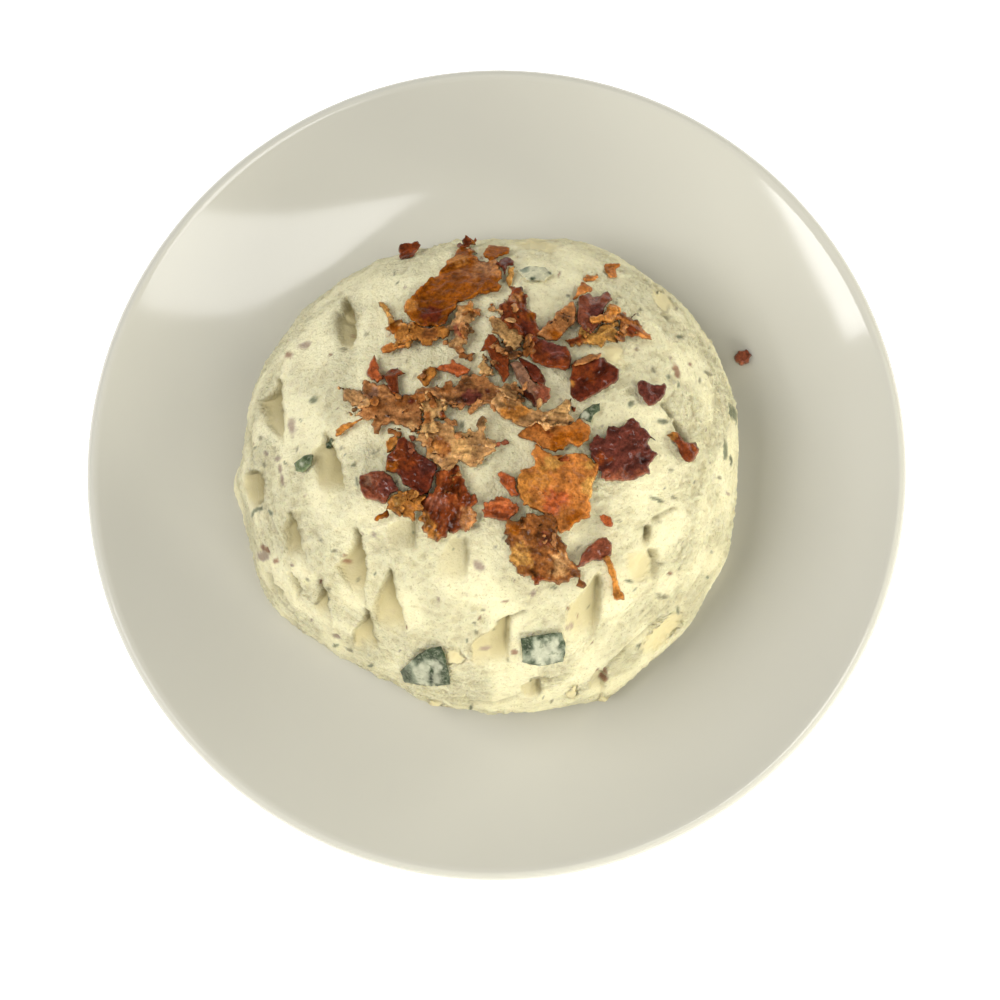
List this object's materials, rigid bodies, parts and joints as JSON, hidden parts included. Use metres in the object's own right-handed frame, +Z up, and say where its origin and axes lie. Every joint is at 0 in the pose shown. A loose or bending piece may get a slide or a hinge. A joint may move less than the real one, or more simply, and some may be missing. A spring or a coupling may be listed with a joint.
{
  "type": "bacon scallion cream cheese",
  "caption": "Mound of whipped cream cheese with scallion, topped with chopped bacon, in a round shallow plate.",
  "frame": {"origin": "centre of the plate's foot ring, on the table", "axes": "+Z up; +Y to the side of the plate away from the eye; +X to the eye's right"},
  "size_m": [0.205, 0.205, 0.0637],
  "materials": {
    "plate_glaze": "glossy warm white glaze",
    "cream_cheese": "matte whipped cream cheese, pale yellow, smooth where the knife pressed",
    "bacon_amber": "glossy amber bacon fat",
    "bacon_lean": "glossy dark red lean bacon",
    "bacon_tan": "crisp tan bacon, uneven sheen",
    "bacon_streaky": "red and amber streaked bacon",
    "bacon_mottled": "brown bacon mottled with red and tan",
    "scallion_green": "dark green scallion slices smeared with cheese"
  },
  "bodies": {
    "root": {"plate": "plate_glaze", "cheese": "cream_cheese", "scallion_square": "scallion_green", "scallion_corner": "scallion_green", "scallion_sliver": "scallion_green", "scallion_frosted": "scallion_green", "scallion_in_mark": "scallion_green", "bacon_low_lobe": "bacon_streaky", "bacon_low_crumble": "bacon_tan", "bacon_low_finger": "bacon_amber", "bacon_dark_body": "bacon_lean", "bacon_nub": "bacon_lean", "bacon_left_flake": "bacon_tan", "bacon_left_wedge": "bacon_amber", "bacon_left_folds": "bacon_tan", "bacon_mass_low": "bacon_tan", "bacon_mass_side": "bacon_tan", "bacon_mass_top": "bacon_mottled", "bacon_left_red": "bacon_lean", "bacon_left_hook": "bacon_lean", "bacon_amber_bit": "bacon_amber", "bacon_red_strip": "bacon_lean", "bacon_ragged_strip": "bacon_tan", "bacon_spike": "bacon_amber", "bacon_strip_end": "bacon_amber", "bacon_crumble": "bacon_mottled", "bacon_big_sheet": "bacon_amber", "bacon_top_amber": "bacon_amber", "bacon_top_dark": "bacon_lean", "bacon_crest_tan": "bacon_tan", "bacon_flame": "bacon_streaky", "bacon_blade": "bacon_lean", "bacon_arm": "bacon_amber", "bacon_wedge_low": "bacon_tan", "bacon_wedge_rag": "bacon_streaky", "bacon_wedge_dark": "bacon_lean", "bacon_wedge_tip": "bacon_amber", "bacon_curl": "bacon_lean", "bacon_ribbon": "bacon_lean", "bacon_slab": "bacon_lean", "bacon_heart": "bacon_lean", "bacon_maroon": "bacon_lean", "bacon_drop": "bacon_lean", "bacon_big_orange": "bacon_amber", "bacon_orange_strip": "bacon_amber", "bacon_centre_rag": "bacon_tan", "bacon_sliver": "bacon_lean", "bacon_oval": "bacon_streaky", "bacon_lowest": "bacon_mottled", "bacon_leaf": "bacon_lean", "bacon_thread": "bacon_amber", "bacon_on_plate": "bacon_lean"}
  },
  "joints": []
}
